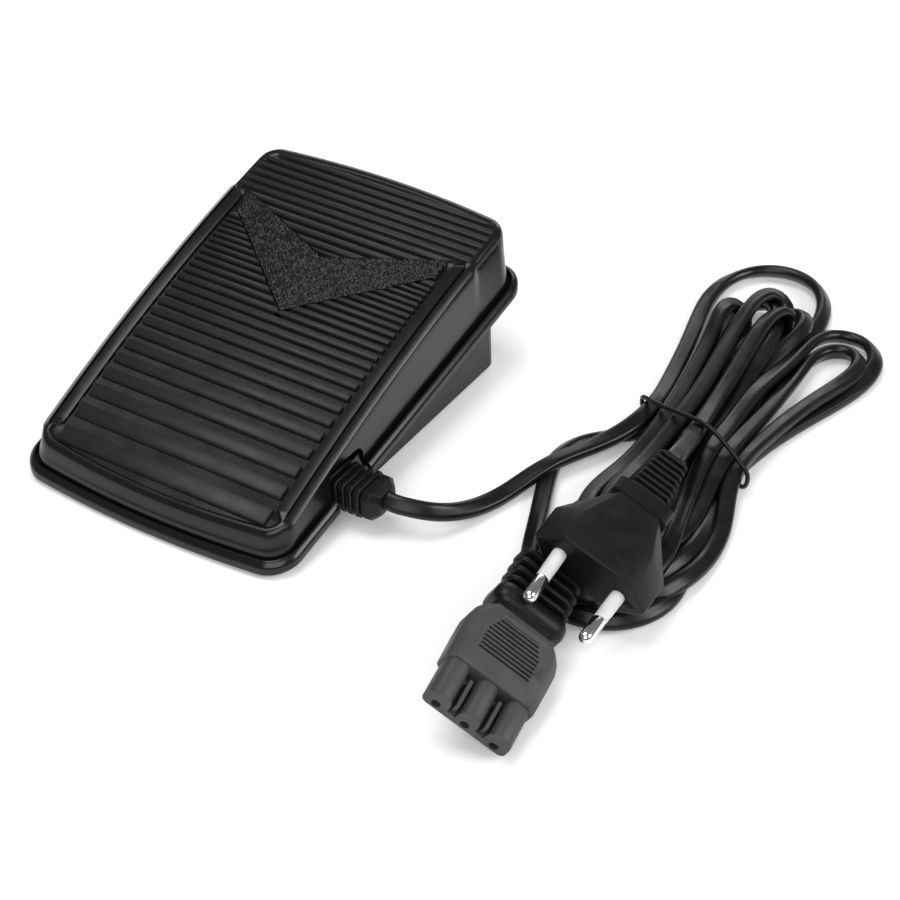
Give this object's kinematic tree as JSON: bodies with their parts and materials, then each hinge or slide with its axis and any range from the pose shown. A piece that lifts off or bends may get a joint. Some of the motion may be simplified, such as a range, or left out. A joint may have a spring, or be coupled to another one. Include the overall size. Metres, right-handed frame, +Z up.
{
  "type": "sewing machine pedal",
  "caption": "Black wedge-shaped foot pedal with a ribbed treadle that tilts on a heel pin, a ribbed cord gland, and a bound flat cord with a mains plug and a machine connector.",
  "frame": {"origin": "middle of the pedal's footprint, on the surface that it stands on, leaving out the cord, plug, connector and gland", "axes": "+Y from the heel to the toe, along the pedal's length; +X to the side that the cord leaves; +Z up"},
  "size_m": [0.1952, 0.2292, 0.0489],
  "materials": {
    "treadle_plastic": "semi-gloss moulded black, fine grain",
    "base_plastic": "satin moulded black",
    "moulded_vinyl": "soft satin black vinyl",
    "cord_jacket": "satin black vinyl",
    "tie_coating": "satin black coating",
    "connector_plastic": "matte dark grey",
    "nickel_plate": "bright nickel plate",
    "sleeve_plastic": "smooth white",
    "brass_contact": "stamped brass",
    "plated_steel": "zinc plated",
    "circuit_board": "green solder mask",
    "component_black": "moulded epoxy",
    "aluminium_sheet": "plain sheet",
    "capacitor_case": "moulded case",
    "copper_winding": "enamelled copper",
    "resistor_body": "lacquered body",
    "terminal_case": "moulded case",
    "wire_insulation": "extruded insulation",
    "plunger_nylon": "natural nylon",
    "grey_nylon": "glass filled nylon",
    "foot_rubber": "soft moulded rubber"
  },
  "bodies": {
    "base": {"base_tray": "base_plastic", "cord_gland": "moulded_vinyl", "pedal_lead": "cord_jacket", "mains_lead": "cord_jacket", "cord_hank": "cord_jacket", "inner_lead": "cord_jacket", "twist_tie": "tie_coating", "mains_plug_body": "moulded_vinyl", "connector_strain_relief": "moulded_vinyl", "connector_body": "connector_plastic", "plug_pin_left": "nickel_plate", "plug_pin_right": "nickel_plate", "pin_sleeve_left": "sleeve_plastic", "pin_sleeve_right": "sleeve_plastic", "socket_contact_1": "brass_contact", "socket_contact_2": "brass_contact", "socket_contact_3": "brass_contact", "hinge_pin": "plated_steel", "return_spring_left": "plated_steel", "return_spring_right": "plated_steel", "circuit_board": "circuit_board", "speed_potentiometer": "component_black", "triac": "component_black", "heat_sink": "aluminium_sheet", "film_capacitor": "capacitor_case", "choke_coil": "copper_winding", "gate_resistor": "resistor_body", "terminal_block": "terminal_case", "live_wire": "wire_insulation", "neutral_wire": "wire_insulation", "cord_clamp": "grey_nylon", "rubber_foot_1": "foot_rubber", "board_screw_1": "plated_steel", "rubber_foot_2": "foot_rubber", "board_screw_2": "plated_steel", "rubber_foot_3": "foot_rubber", "board_screw_3": "plated_steel", "rubber_foot_4": "foot_rubber", "board_screw_4": "plated_steel", "clamp_screw_1": "plated_steel", "clamp_screw_2": "plated_steel"},
    "treadle": {"treadle_cap": "treadle_plastic", "presser_bracket": "grey_nylon", "bracket_screw_left": "plated_steel", "bracket_screw_right": "plated_steel"},
    "plunger": {"speed_plunger": "plunger_nylon"}
  },
  "joints": [
    {"name": "treadle_tilt", "type": "hinge", "parent": "base", "child": "treadle", "pos_m": [0, -0.0504, 0.0075], "axis": [-1, 0, 0], "range_deg": [0, 6], "stiffness_Nm_per_rad": 4, "springref_deg": -5.73, "deforming": ["return_spring_left", "return_spring_right"]},
    {"name": "plunger_slide", "type": "slide", "parent": "base", "child": "plunger", "axis": [0, 0, -1], "range_m": [0, 0.0066]}
  ],
  "couplings": [
    {"joint": "plunger_slide", "follows": "treadle_tilt", "m_per_rad": 0.06}
  ]
}
